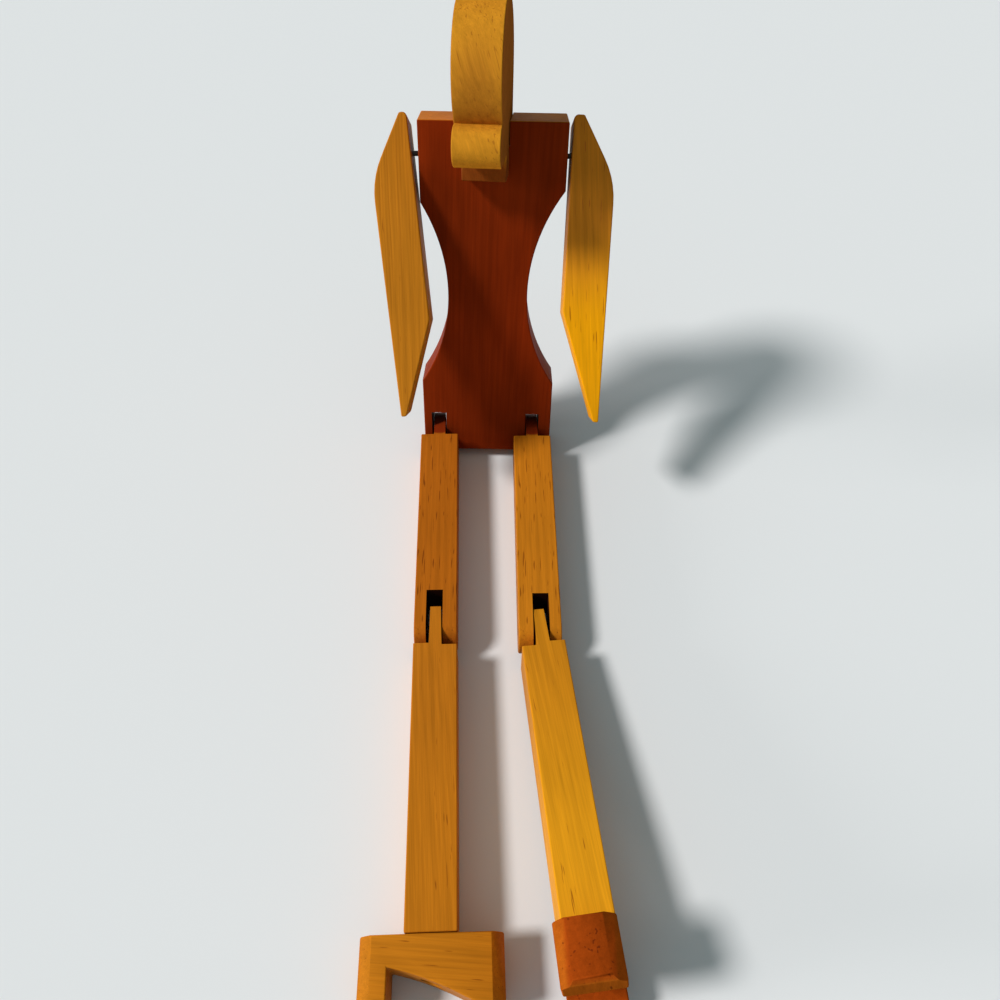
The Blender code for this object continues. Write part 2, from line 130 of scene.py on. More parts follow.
class Slot(Enum):
    """Material slots of the record."""

    STAINED_BOARD = "stained_board"
    VARNISHED_PINE = "varnished_pine"
    RUSSET_PINE = "russet_pine"
    DARK_STEEL = "dark_steel"


class Sawing(Enum):
    """How a board was cut from its log: millimetres from the board's middle to the pith."""

    RIFT = (46.0, 34.0, 0.0)
    QUARTER = (70.0, 8.0, 0.0)
    FLAT = (6.0, 44.0, 0.0)


def joint(name: str) -> dict:
    """Return a joint of the record by its name."""
    return next(item for item in frame["joints"] if item["name"] == name)


def body_of(node: str) -> str:
    """Return the body that a solid rides on."""
    bodies = frame["record"]["behaviour"]["bodies"]
    return next(body for body, nodes in bodies.items() if node in nodes)


@contextmanager
def editing(piece: bpy.types.Object) -> Iterator[None]:
    """Open one piece alone in edit mode with all of it selected.

    Args:
        piece: The object to edit.

    Yields:
        Nothing, while edit mode is open.
    """
    bpy.ops.object.select_all(action="DESELECT")
    piece.select_set(True)
    bpy.context.view_layer.objects.active = piece
    bpy.ops.object.mode_set(mode="EDIT")
    bpy.ops.mesh.select_all(action="SELECT")
    yield
    bpy.ops.object.mode_set(mode="OBJECT")


@dataclass(frozen=True)
class Grain:
    """The frame of a board in its log: Z runs along the fibres."""

    centre: Vector
    turn: Matrix

    @property
    def along(self) -> Vector:
        """Direction of the fibres."""
        return self.turn.col[2].copy()

    @classmethod
    def of(cls, node: str, face: Vector, slant: float = 0.0) -> "Grain":
        """Find a board's grain from the longest direction of its solid.

        Args:
            node: Name of the CAD solid.
            face: Direction that the board's broad face looks in.
            slant: Turn of the fibres in that face, in degrees.

        Returns:
            The grain frame, with Y through the broad face.
        """
        points = np.array([vertex.co for vertex in frame["nodes"][node].data.vertices])
        spread = np.linalg.svd(points - points.mean(0), full_matrices=False)[2]
        return cls.along_axis(node, Vector(spread[0]), face, slant)

    @classmethod
    def along_axis(cls, node: str, axis: Vector, face: Vector, slant: float = 0.0) -> "Grain":
        """Make a grain frame whose fibres run along a given axis.

        Args:
            node: Name of the CAD solid.
            axis: Direction of the fibres.
            face: Direction that the board's broad face looks in.
            slant: Turn of the fibres in that face, in degrees.

        Returns:
            The grain frame, with Y through the broad face.
        """
        low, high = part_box(node)
        fibre = axis.normalized()
        through = (face - fibre * face.dot(fibre)).normalized()
        turn = Matrix((through.cross(fibre), through, fibre)).transposed()
        tilt = Matrix.Rotation(math.radians(slant), 3, "Y")
        return cls((low + high) / 2.0, turn @ tilt)


class Sketch:
    """A node material in the making."""

    def __init__(self, name: str) -> None:
        """Start a material with one shader."""
        self.surface = bpy.data.materials.new(name)
        self.surface.use_nodes = True
        self.nodes = self.surface.node_tree.nodes
        self.shader = self.nodes["Principled BSDF"]

    def feed(self, socket: bpy.types.NodeSocket, value: object) -> None:
        """Link a socket to another, or set its value.

        Args:
            socket: The input to feed.
            value: An output to link from, or a plain value.
        """
        if isinstance(value, bpy.types.NodeSocket):
            self.surface.node_tree.links.new(value, socket)
        else:
            socket.default_value = value

    def set(self, **values: object) -> None:
        """Feed the shader's sockets.

        Args:
            **values: What each socket gets, named in lower case with underscores.
        """
        sockets = {socket.name.lower().replace(" ", "_"): socket for socket in self.shader.inputs}
        for name, value in values.items():
            self.feed(sockets[name], value)

    def math(self, operation: str, first: object, second: object = 0.0) -> bpy.types.NodeSocket:
        """Work on one or two numbers.

        Args:
            operation: Blender's name of the sum.
            first: Number or socket.
            second: Number or socket.

        Returns:
            The socket of the result.
        """
        node = self.nodes.new("ShaderNodeMath")
        node.operation = operation
        self.feed(node.inputs[0], first)
        self.feed(node.inputs[1], second)
        return node.outputs[0]

    def vector(self, operation: str, first: object, second: object) -> bpy.types.Node:
        """Work on two vectors.

        Args:
            operation: Blender's name of the sum.
            first: Vector or socket.
            second: Vector or socket.

        Returns:
            The node, whose result is a vector or a number.
        """
        node = self.nodes.new("ShaderNodeVectorMath")
        node.operation = operation
        self.feed(node.inputs[0], first)
        self.feed(node.inputs[1], second)
        return node

    def noise(self, place: object, stretch: tuple, detail: float = 2.0) -> bpy.types.NodeSocket:
        """Return soft noise of a place.

        Args:
            place: Vector socket, in millimetres.
            stretch: Grains of noise for each millimetre, in X, Y and Z.
            detail: Octaves of finer noise.

        Returns:
            A socket between 0 and 1.
        """
        node = self.nodes.new("ShaderNodeTexNoise")
        self.feed(node.inputs["Vector"], self.vector("MULTIPLY", place, stretch).outputs[0])
        node.inputs["Scale"].default_value = 1.0
        node.inputs["Detail"].default_value = detail
        return node.outputs[0]

    def rise(self, value: object, low: float, high: float) -> bpy.types.NodeSocket:
        """Make a smooth step.

        Args:
            value: Number or socket.
            low: Where the step is 0.
            high: Where the step is 1.

        Returns:
            A socket between 0 and 1.
        """
        node = self.nodes.new("ShaderNodeMapRange")
        node.interpolation_type = "SMOOTHSTEP"
        self.feed(node.inputs["Value"], value)
        node.inputs["From Min"].default_value = low
        node.inputs["From Max"].default_value = high
        return node.outputs[0]

    def span(self, value: object, low: float, high: float) -> bpy.types.NodeSocket:
        """Spread a number between 0 and 1 over another range.

        Args:
            value: Number or socket.
            low: What 0 becomes.
            high: What 1 becomes.

        Returns:
            The socket of the result.
        """
        node = self.nodes.new("ShaderNodeMapRange")
        self.feed(node.inputs["Value"], value)
        node.inputs["To Min"].default_value = low
        node.inputs["To Max"].default_value = high
        return node.outputs[0]

    def mix(self, share: object, first: object, second: object) -> bpy.types.NodeSocket:
        """Mix two colours.

        Args:
            share: How much of the second colour there is.
            first: Colour or socket.
            second: Colour or socket.

        Returns:
            The socket of the mixed colour.
        """
        node = self.nodes.new("ShaderNodeMix")
        node.data_type = "RGBA"
        self.feed(node.inputs[MIX_SHARE], share)
        self.feed(node.inputs[MIX_FIRST], first)
        self.feed(node.inputs[MIX_SECOND], second)
        return node.outputs[MIX_RESULT]

    def shade(self, colour: object, level: object) -> bpy.types.NodeSocket:
        """Return a colour made darker or lighter by a number."""
        return self.vector("MULTIPLY", colour, level).outputs[0]

    def mark(self, attribute: str) -> bpy.types.NodeSocket:
        """Read a face attribute of the mesh.

        Args:
            attribute: Its name.

        Returns:
            The socket of its number.
        """
        node = self.nodes.new("ShaderNodeAttribute")
        node.attribute_name = attribute
        return node.outputs["Fac"]

    def bump(self, height: object, depth: float, strength: float) -> None:
        """Raise the surface a little.

        Args:
            height: Number or socket between 0 and 1.
            depth: How far 1 stands out, in metres.
            strength: How much of it shows.
        """
        node = self.nodes.new("ShaderNodeBump")
        node.inputs["Strength"].default_value = strength
        node.inputs["Distance"].default_value = depth
        self.feed(node.inputs["Height"], height)
        self.set(normal=node.outputs[0])


@dataclass(frozen=True)
class Smear:
    """A colour mixed in round a place: stain, and in places painted shade."""

    place: Vector
    full: float  # radius that is coloured in full
    fade: float  # radius where the stain ends
    colour: Colour
    share: float = 1.0
    facing: Vector | None = None  # direction that the coloured faces look in


@dataclass(frozen=True)
class WoodFinish:
    """A wood under its stain or varnish. Lengths are in millimetres."""

    slot: Slot
    early: Colour  # soft wood of spring
    late: Colour  # hard line of a growth ring
    sawn_end: Colour
    worn_edge: Colour
    fleck: Colour  # thin streaks of resin
    hollow_shade: Colour = (0.03, 0.007, 0.003, 1.0)  # painted shade inside slots and holes
    ring: float = 1.35
    figure: float = 1.4  # how far the rings wander
    late_share: float = 0.17  # how strongly ring lines show
    ring_relief: float = 0.4  # how far they stand out, next to the fibres
    end_share: float = 0.5
    edge_share: float = 0.3
    fleck_level: float = 0.65  # higher leaves fewer flecks
    fleck_grain: float = 1.2  # flecks for each millimetre across the fibres
    fleck_run: float = 0.08  # their width as a share of their length
    fleck_share: float = 0.85
    fleck_crowding: float = 0.12
    fleck_softness: float = 0.09
    mottle: float = 0.16  # the patches, streaks and fibres are this much darker or lighter
    streak: float = 0.28
    fibre: float = 0.2
    relief: float = 0.00007  # metres
    relief_share: float = 0.3
    roughness: float = 0.46
    gloss_spread: float = 0.1
    shine: float = 0.03
    shine_tint: Colour = (1.0, 0.72, 0.42, 1.0)

    def material(
        self, name: str, grain: Grain, sawing: Sawing, smears: tuple[Smear, ...] = ()
    ) -> bpy.types.Material:
        """Make this finish for one board.

        Args:
            name: Name of the material.
            grain: The board's frame in its log.
            sawing: How the board was cut.
            smears: Colours mixed in round places: stain, and in places painted shade.

        Returns:
            A node material on Object coordinates.
        """
        sketch = Sketch(name)
        source = sketch.nodes.new("ShaderNodeTexCoord")
        place = self.grain_place(sketch, source, grain)
        end = self.sawn_ends(sketch, source, grain)
        rings = self.rings(sketch, place, sawing)
        fibre = sketch.noise(place, FIBRES, detail=3.0)
        flecks = self.flecks(sketch, place)
        colour = sketch.mix(sketch.math("MULTIPLY", rings, self.late_share), self.early, self.late)
        colour = sketch.mix(sketch.math("MULTIPLY", end, self.end_share), colour, self.sawn_end)
        patches = self.patches(sketch, place, fibre)
        colour = sketch.shade(colour, patches)
        colour = sketch.mix(flecks, colour, self.fleck)
        colour = self.wear(sketch, place, colour)
        for smear in smears:
            share = self.smeared(sketch, source, smear)
            colour = sketch.mix(share, colour, sketch.shade(smear.colour[:3], patches))
        # painted shade: the hollow colour where the board's own walls close off the view
        colour = sketch.mix(sketch.rise(sketch.mark(PAINTED_HOLLOW_SHADE), *HOLLOW_SHADE_STEP), colour, self.hollow_shade)
        smoother, rougher = self.roughness - self.gloss_spread, self.roughness + self.gloss_spread
        sketch.set(
            base_color=colour,
            roughness=sketch.span(sketch.noise(place, GLOSS), smoother, rougher),
            specular_ior_level=self.shine,
            specular_tint=self.shine_tint,
        )
        raised = sketch.math("ADD", sketch.math("MULTIPLY", rings, self.ring_relief), fibre)
        sketch.bump(sketch.math("SUBTRACT", raised, flecks), self.relief, self.relief_share)
        return sketch.surface

    def grain_place(
        self, sketch: Sketch, source: bpy.types.Node, grain: Grain
    ) -> bpy.types.NodeSocket:
        """Find the place in the log.

        Args:
            sketch: The material in the making.
            source: Its texture coordinates.
            grain: The board's frame in its log.

        Returns:
            A vector socket in millimetres, with Z along the fibres.
        """
        mapping = sketch.nodes.new("ShaderNodeMapping")
        mapping.vector_type = "TEXTURE"
        sketch.feed(mapping.inputs["Vector"], source.outputs["Object"])
        mapping.inputs["Location"].default_value = grain.centre
        mapping.inputs["Rotation"].default_value = grain.turn.to_euler()
        mapping.inputs["Scale"].default_value = (MILLIMETRE,) * 3
        return mapping.outputs[0]

    def sawn_ends(
        self, sketch: Sketch, source: bpy.types.Node, grain: Grain
    ) -> bpy.types.NodeSocket:
        """Return how far a face cuts across the fibres, 0 to 1."""
        facing = sketch.vector("DOT_PRODUCT", source.outputs["Normal"], grain.along)
        return sketch.rise(sketch.math("ABSOLUTE", facing.outputs["Value"]), *END_FACING)

    def smeared(
        self, sketch: Sketch, source: bpy.types.Node, smear: Smear
    ) -> bpy.types.NodeSocket:
        """Find how much of a smear there is.

        Args:
            sketch: The material in the making.
            source: Its texture coordinates.
            smear: A colour mixed in round a place.

        Returns:
            A socket between 0 and 1.
        """
        reach = sketch.vector("DISTANCE", source.outputs["Object"], smear.place).outputs["Value"]
        outside_share = sketch.rise(reach, smear.full, smear.fade)
        share = sketch.math("MULTIPLY", sketch.math("SUBTRACT", 1.0, outside_share), smear.share)
        if smear.facing is None:
            return share
        facing = sketch.vector("DOT_PRODUCT", source.outputs["Normal"], smear.facing)
        facing_share = sketch.rise(facing.outputs["Value"], *SMEAR_FACING)
        return sketch.math("MULTIPLY", share, facing_share)

    def rings(self, sketch: Sketch, place: object, sawing: Sawing) -> bpy.types.NodeSocket:
        """Draw the growth rings.

        Args:
            sketch: The material in the making.
            place: Place in the log.
            sawing: How the board was cut.

        Returns:
            A socket, 0 in the soft wood and 1 on the hard lines.
        """
        off_pith = sketch.vector("SUBTRACT", place, sawing.value).outputs[0]
        flat = sketch.vector("MULTIPLY", off_pith, (1.0, 1.0, 0.0)).outputs[0]
        radius = sketch.vector("LENGTH", flat, (0.0, 0.0, 0.0)).outputs["Value"]
        wander = sketch.noise(place, RING_WANDER, detail=3.0)
        wander = sketch.span(wander, -self.figure, self.figure)
        turns = sketch.math("DIVIDE", sketch.math("ADD", radius, wander), self.ring)
        phase = sketch.math("FRACT", turns)
        line, edge = sketch.rise(phase, *RING_LINE), sketch.rise(phase, *RING_EDGE)
        seen = sketch.rise(sketch.noise(place, RING_FADING), *RING_SEEN)
        return sketch.math("MULTIPLY", sketch.math("MULTIPLY", line, edge), seen)

    def patches(self, sketch: Sketch, place: object, fibre: object) -> bpy.types.NodeSocket:
        """Draw the darker and lighter patches of a board.

        Args:
            sketch: The material in the making.
            place: Place in the log.
            fibre: Noise of the fibres.

        Returns:
            The socket of a factor round 1.
        """
        broad = sketch.noise(place, PATCHES, detail=3.0)
        broad = sketch.span(broad, 1.0 - self.mottle, 1.0 + self.mottle)
        streaks = sketch.noise(place, STREAKS, detail=3.0)
        streaks = sketch.span(streaks, 1.0 - self.streak, 1.0 + self.streak)
        fine = sketch.span(fibre, 1.0 - self.fibre, 1.0 + self.fibre)
        return sketch.math("MULTIPLY", broad, sketch.math("MULTIPLY", streaks, fine))

    def flecks(self, sketch: Sketch, place: object) -> bpy.types.NodeSocket:
        """Draw the thin dark streaks of resin, which end as dots on a sawn end.

        Args:
            sketch: The material in the making.
            place: Place in the log.

        Returns:
            The socket of how dark the place is.
        """
        across = self.fleck_grain
        streak = sketch.noise(place, (across, across, self.fleck_run * across), detail=1.0)
        crowd = sketch.noise(place, FLECK_CROWDS)
        crowd = sketch.span(crowd, -self.fleck_crowding, self.fleck_crowding)
        level = sketch.math("ADD", streak, crowd)
        dark = sketch.rise(level, self.fleck_level, self.fleck_level + self.fleck_softness)
        return sketch.math("MULTIPLY", dark, self.fleck_share)

    def wear(self, sketch: Sketch, place: object, colour: object) -> bpy.types.NodeSocket:
        """Rub the sanded edges lighter in places.

        Args:
            sketch: The material in the making.
            place: Place in the log.
            colour: Colour of the wood.

        Returns:
            The socket of the colour with its edges rubbed.
        """
        rubbed = sketch.rise(sketch.noise(place, RUBBED_SPOTS), *RUBBED_STEP)
        share = sketch.math("MULTIPLY", rubbed, sketch.mark(RUB))
        return sketch.mix(sketch.math("MULTIPLY", share, self.edge_share), colour, self.worn_edge)


@dataclass(frozen=True)
class SteelFinish:
    """Dull drawn wire with a little rust."""

    slot: Slot
    bare: Colour = (0.055, 0.05, 0.046, 1.0)
    rust: Colour = (0.09, 0.032, 0.012, 1.0)
    roughness: float = 0.45
    smoother: float = 0.15  # how much less rough it is where it is bare
    rougher: float = 0.25
    metal: float = 0.9
    pits: float = 0.00004  # metres
    pits_share: float = 0.4

    def material(self, name: str) -> bpy.types.Material:
        """Make this finish.

        Args:
            name: Name of the material.

        Returns:
            A node material on Object coordinates.
        """
        sketch = Sketch(name)
        source = sketch.nodes.new("ShaderNodeTexCoord")
        millimetres = (1.0 / MILLIMETRE,) * 3
        place = sketch.vector("MULTIPLY", source.outputs["Object"], millimetres).outputs[0]
        spots = sketch.noise(place, RUST_SPOTS, detail=4.0)
        rough = sketch.span(spots, self.roughness - self.smoother, self.roughness + self.rougher)
        sketch.set(
            base_color=sketch.mix(sketch.rise(spots, *RUST_STEP), self.bare, self.rust),
            roughness=rough,
            metallic=self.metal,
        )
        sketch.bump(spots, self.pits, self.pits_share)
        return sketch.surface


AMBER = WoodFinish(
    slot=Slot.VARNISHED_PINE,
    early=(0.4, 0.105, 0.006, 1.0),
    late=(0.25, 0.055, 0.004, 1.0),
    sawn_end=(0.24, 0.05, 0.005, 1.0),
    worn_edge=(0.5, 0.17, 0.015, 1.0),
    fleck=(0.15, 0.03, 0.003, 1.0),
)
GOLD = replace(
    AMBER,
    early=(0.49, 0.157, 0.008, 1.0),
    late=(0.31, 0.08, 0.004, 1.0),
    sawn_end=(0.38, 0.105, 0.007, 1.0),
    worn_edge=(0.56, 0.2, 0.02, 1.0),
    fleck=(0.2, 0.045, 0.003, 1.0),
)
TAN = replace(GOLD, fleck_level=0.7)
HONEY = replace(
    AMBER,
    early=(0.72, 0.29, 0.009, 1.0),
    late=(0.5, 0.17, 0.005, 1.0),
    sawn_end=(0.44, 0.125, 0.006, 1.0),
    worn_edge=(0.72, 0.31, 0.015, 1.0),
    fleck=(0.32, 0.09, 0.005, 1.0),
    fleck_level=0.71,
    late_share=0.12,
)
SUNLIT = replace(
    HONEY,
    early=(0.8, 0.32, 0.003, 1.0),
    late=(0.56, 0.19, 0.002, 1.0),
    fleck=(0.36, 0.1, 0.003, 1.0),
    fleck_level=0.68,
)
OCHRE = replace(
    AMBER,
    early=(0.48, 0.165, 0.01, 1.0),
    late=(0.32, 0.095, 0.006, 1.0),
    sawn_end=(0.32, 0.085, 0.007, 1.0),
    worn_edge=(0.56, 0.22, 0.02, 1.0),
    fleck=(0.25, 0.065, 0.005, 1.0),
    fleck_level=0.72,
    late_share=0.5,
)
FACE_PINE = replace(
    HONEY,
    early=(0.6, 0.24, 0.016, 1.0),
    late=(0.4, 0.125, 0.009, 1.0),
    sawn_end=(0.5, 0.17, 0.012, 1.0),
    fleck=(0.27, 0.08, 0.008, 1.0),
    fleck_level=0.65,
    fleck_run=0.05,
    fleck_share=0.55,
    shine=0.0,
)
RUSSET = replace(
    AMBER,
    slot=Slot.RUSSET_PINE,
    early=(0.38, 0.085, 0.006, 1.0),
    late=(0.25, 0.045, 0.004, 1.0),
    sawn_end=(0.27, 0.038, 0.003, 1.0),
    worn_edge=(0.34, 0.07, 0.006, 1.0),
    fleck=(0.11, 0.015, 0.003, 1.0),
    fleck_level=0.67,
    fleck_grain=0.7,
    fleck_share=0.7,
    end_share=0.9,
    shine=0.0,
)
STAIN = WoodFinish(
    slot=Slot.STAINED_BOARD,
    early=(0.2, 0.021, 0.0026, 1.0),
    late=(0.12, 0.011, 0.0018, 1.0),
    sawn_end=(0.46, 0.14, 0.012, 1.0),
    worn_edge=(0.3, 0.065, 0.006, 1.0),
    fleck=(0.07, 0.008, 0.002, 1.0),
    late_share=0.25,
    end_share=0.95,
    fleck_level=0.84,
    mottle=0.35,
    shine=0.01,
)
HIP_RED: Colour = (0.2, 0.02, 0.003, 1.0)  # torso stain rubbed off on the hip tongues
# painted shade under the jaw, on the neck's tab
NECK_SHADE_BROWN: Colour = (0.2, 0.045, 0.006, 1.0)
# browner round the lower forehead, on faces looking forward
BROW_BROWN: Colour = (0.3, 0.085, 0.012, 1.0)
CHEEK_BROWN: Colour = (0.22, 0.05, 0.014, 1.0)  # brown on the broad faces of the head's board: partly stain, partly painted shade of the head's shaded side
KNEE_BROWN: Colour = (0.42, 0.125, 0.008, 1.0)
# painted shade on the left arm's upper half
SHOULDER_SHADE_BROWN: Colour = (0.4, 0.097, 0.02, 1.0)
STEEL = SteelFinish(slot=Slot.DARK_STEEL)


def join_figure(
    piece: bpy.types.Object, node: str, surface: bpy.types.Material
) -> None:
    """Dress a piece, let it stand for its solid and ride on the solid's body.

    Args:
        piece: The finished object.
        node: The CAD solid that it stands for.
        surface: Its material.
    """
    piece.data.materials.clear()
    piece.data.materials.append(surface)
    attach(piece, body_of(node))
    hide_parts(node)
    log.info("%s: %d faces on body %s", piece.name, len(piece.data.polygons), body_of(node))


def copy_board(node: str) -> bpy.types.Object:
    """Copy a wooden solid and join its facets into flat faces.

    Args:
        node: Name of the CAD solid.

    Returns:
        The new piece, still sharp all over.
    """
    piece = bpy.data.objects.new(f"{node}_wood", frame["nodes"][node].data.copy())
    bpy.context.scene.collection.objects.link(piece)
    with editing(piece):
        bpy.ops.mesh.customdata_custom_splitnormals_clear()
        bpy.ops.mesh.remove_doubles(threshold=WELD)
        bpy.ops.mesh.dissolve_limited(angle_limit=FLAT_BELOW)
    return piece


def soften(piece: bpy.types.Object) -> None:
    """Shade a board's curves and sanded edges smooth and mark those edges.

    Args:
        piece: A copied board, which is the active object.
    """
    bpy.ops.object.shade_smooth_by_angle(angle=SMOOTH_BELOW)
    weigh = piece.modifiers.new("even_faces", "WEIGHTED_NORMAL")
    weigh.keep_sharp = True
    bpy.ops.object.modifier_apply(modifier=weigh.name)
    mark_sanded_edges(piece.data)


def soft_board(node: str) -> bpy.types.Object:
    """Make a softened copy of a wooden solid.

    Args:
        node: Name of the CAD solid.

    Returns:
        The new piece.
    """
    piece = copy_board(node)
    soften(piece)
    return piece


def mark_sanded_edges(mesh: bpy.types.Mesh) -> None:
    """Mark the narrow faces of sanded edges in a face attribute.

    Args:
        mesh: Mesh of a board.
    """
    marks = mesh.attributes.new(RUB, "FLOAT", "FACE")
    for face in mesh.polygons:
        corners = [mesh.vertices[index].co for index in face.vertices]
        longest = max((a - b).length for a, b in zip(corners, corners[1:] + corners[:1]))
        marks.data[face.index].value = float(2.0 * face.area / longest < EASED_STRIP)


def mark_hollow_shade(mesh: bpy.types.Mesh) -> None:
    """Mark in a face attribute how much of each face's view the board's own walls close off, for painted shade in
    slots and holes.

    Args:
        mesh: Mesh of a board with slots.
    """
    corners = [vertex.co for vertex in mesh.vertices]
    tree = BVHTree.FromPolygons(corners, [tuple(face.vertices) for face in mesh.polygons])
    marks = mesh.attributes.new(PAINTED_HOLLOW_SHADE, "FLOAT", "FACE")
    golden = math.pi * (3.0 - math.sqrt(5.0))
    for face in mesh.polygons:
        turn = face.normal.to_track_quat("Z", "Y")
        start = face.center + face.normal * WELD
        closed = 0
        for ray in range(SHADE_RAYS):
            height = math.sqrt((ray + 0.5) / SHADE_RAYS)
            spread = math.sqrt(1.0 - height * height)
            angle = golden * ray
            way = Vector((spread * math.cos(angle), spread * math.sin(angle), height))
            closed += tree.ray_cast(start, turn @ way, SHADE_RAY_REACH)[0] is not None
        marks.data[face.index].value = closed / SHADE_RAYS


@dataclass
class Rod:
    """A turned piece of steel, modelled upright and then laid on its axis."""

    name: str
    profile: Profile  # (radius, height) from the lower end up
    sides: int = 32
    rim_bevel: float = 0.00015

    def turn(self) -> bpy.types.Object:
        """Raise the rod from a disc, one extrusion for each step of its profile.

        Returns:
            The upright rod.
        """
        radius, height = self.profile[0]
        bpy.ops.object.select_all(action="DESELECT")
        bpy.ops.mesh.primitive_circle_add(
            vertices=self.sides, radius=radius, fill_type="NGON", location=(0.0, 0.0, height)
        )
        rod = bpy.context.active_object
        rod.name = self.name
        rod.data.name = self.name
        bpy.ops.object.transform_apply(location=True)
        with editing(rod):
            for wider, higher in self.profile[1:]:
                bpy.ops.mesh.extrude_region_move(
                    TRANSFORM_OT_translate={"value": (0.0, 0.0, higher - height)}
                )
                grow = wider / radius
                bpy.ops.transform.resize(
                    value=(grow, grow, 1.0), center_override=(0.0, 0.0, higher)
                )
                radius, height = wider, higher
            bpy.ops.mesh.select_all(action="SELECT")
            bpy.ops.mesh.normals_make_consistent(inside=False)
        return rod

    def lay(self, rod: bpy.types.Object, base: Vector, axis: Vector) -> None:
        """Bevel the rims and put the rod's foot at a base with its height along an axis.

        Args:
            rod: The upright rod.
            base: Where height 0 goes.
            axis: Direction of its height.
        """
        bevel = rod.modifiers.new("broken_rims", "BEVEL")
        bevel.width = self.rim_bevel
        bevel.segments = 2
        bpy.ops.object.modifier_apply(modifier=bevel.name)
        turn = axis.normalized().to_track_quat("Z", "Y").to_matrix().to_4x4()
        rod.matrix_world = Matrix.Translation(base) @ turn
        bpy.ops.object.transform_apply(location=True, rotation=True, scale=True)
        bpy.ops.object.shade_smooth_by_angle(angle=SMOOTH_BELOW)


@dataclass
class WireNail:
    """A round wire nail that an arm swings on."""

    side: Side
    shank: float = 0.0011
    point: float = 0.004
    head: float = 0.0026
    head_thick: float = 0.001
    head_flare: float = 0.0002
    tip_share: float = 0.12  # width of the point's end, as a share of the shank
    grip_count: int = 4
    grip_pitch: float = 0.0007
    grip_depth: float = 0.00012

    def build(self) -> None:
        """Turn the nail with a pinched point and gripping rings above it."""
        node = self.side.node("shoulder_nail")
        low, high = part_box(node)
        length = high.x - low.x
        collar = length - self.head_thick
        profile = [(self.shank * self.tip_share, 0.0), (self.shank, self.point)]
        start = self.point + 2.0 * self.grip_pitch
        for ring in range(self.grip_count):
            foot = start + 2.0 * ring * self.grip_pitch
            profile.append((self.shank, foot))
            profile.append((self.shank - self.grip_depth, foot + self.grip_pitch))
        profile.append((self.shank, start + 2.0 * self.grip_count * self.grip_pitch))
        flare = collar + self.head_flare
        profile += [(self.shank, collar), (self.head, flare), (self.head, length)]
        base = (low + high) / 2.0
        base.x -= self.side.outward * length / 2.0
        rod = Rod(f"{node}_wire", profile)
        nail = rod.turn()
        rod.lay(nail, base, Vector((self.side.outward, 0.0, 0.0)))
        join_figure(nail, node, STEEL.material(f"{node}_steel"))


@dataclass
class Pin:
    """A cut length of wire across a slot."""

    node: str
    middle: Vector
    axis: Vector
    length: float
    radius: float = 0.0014
    crown: float = 0.0003
    sides: int = 24
    rim_bevel: float = 0.0001

    def build(self) -> None:
        """Turn the pin with both its ends broken."""
        half = self.length / 2.0
        profile = [
            (self.radius - self.crown, -half),
            (self.radius, self.crown - half),
            (self.radius, half - self.crown),
            (self.radius - self.crown, half),
        ]
        rod = Rod(f"{self.node}_wire", profile, self.sides, self.rim_bevel)
        pin = rod.turn()
        rod.lay(pin, self.middle, self.axis)
        join_figure(pin, self.node, STEEL.material(f"{self.node}_steel"))


@dataclass
class FootScrew:
    """The slotted screw that a foot turns on. Heights run up the shin from its end."""

    side: Side
    shank: float = 0.0016
    seat: float = -0.0117  # underside of the head
    head: float = 0.0032
    head_thick: float = 0.002
    tip: float = 0.020
    taper: float = 0.004
    slot_width: float = 0.0008
    slot_depth: float = 0.0009
    dome: Profile = ((0.62, 0.0), (0.88, 0.2), (1.0, 0.5), (1.0, 1.0))  # shares of the head
    tip_share: float = 0.25

    def build(self) -> None:
        """Turn the screw, saw its slot and lay it on the foot's axis."""
        node = self.side.node("foot_screw")
        swivel = joint(self.side.node("foot_swivel"))
        crown = self.seat - self.head_thick
        profile = [(self.head * out, crown + self.head_thick * up) for out, up in self.dome]
        profile += [
            (self.shank, self.seat),
            (self.shank, self.tip - self.taper),
            (self.shank * self.tip_share, self.tip),
        ]
        rod = Rod(f"{node}_steel_screw", profile)
        screw = rod.turn()
        self.saw_slot(screw, crown)
        rod.lay(screw, Vector(swivel["pos_m"]), Vector(swivel["axis"]))
        join_figure(screw, node, STEEL.material(f"{node}_steel"))

    def saw_slot(self, screw: bpy.types.Object, crown: float) -> None:
        """Cut the flat crown along two lines and push the strip between them in.

        Args:
            screw: The upright screw.
            crown: Height of the flat crown.
        """
        half = self.slot_width / 2.0
        with editing(screw):
            for edge in (-half, half):
                bpy.ops.mesh.select_all(action="SELECT")
                bpy.ops.mesh.bisect(plane_co=(edge, 0.0, 0.0), plane_no=(1.0, 0.0, 0.0))
            bpy.ops.mesh.select_all(action="DESELECT")
        for face in screw.data.polygons:
            face.select = abs(face.center.z - crown) < WELD and abs(face.center.x) < half
        bpy.ops.object.mode_set(mode="EDIT")
        bpy.ops.mesh.select_mode(type="FACE")
        bpy.ops.mesh.extrude_region_move(
            TRANSFORM_OT_translate={"value": (0.0, 0.0, self.slot_depth)}
        )
        bpy.ops.mesh.select_mode(type="VERT")
        bpy.ops.object.mode_set(mode="OBJECT")


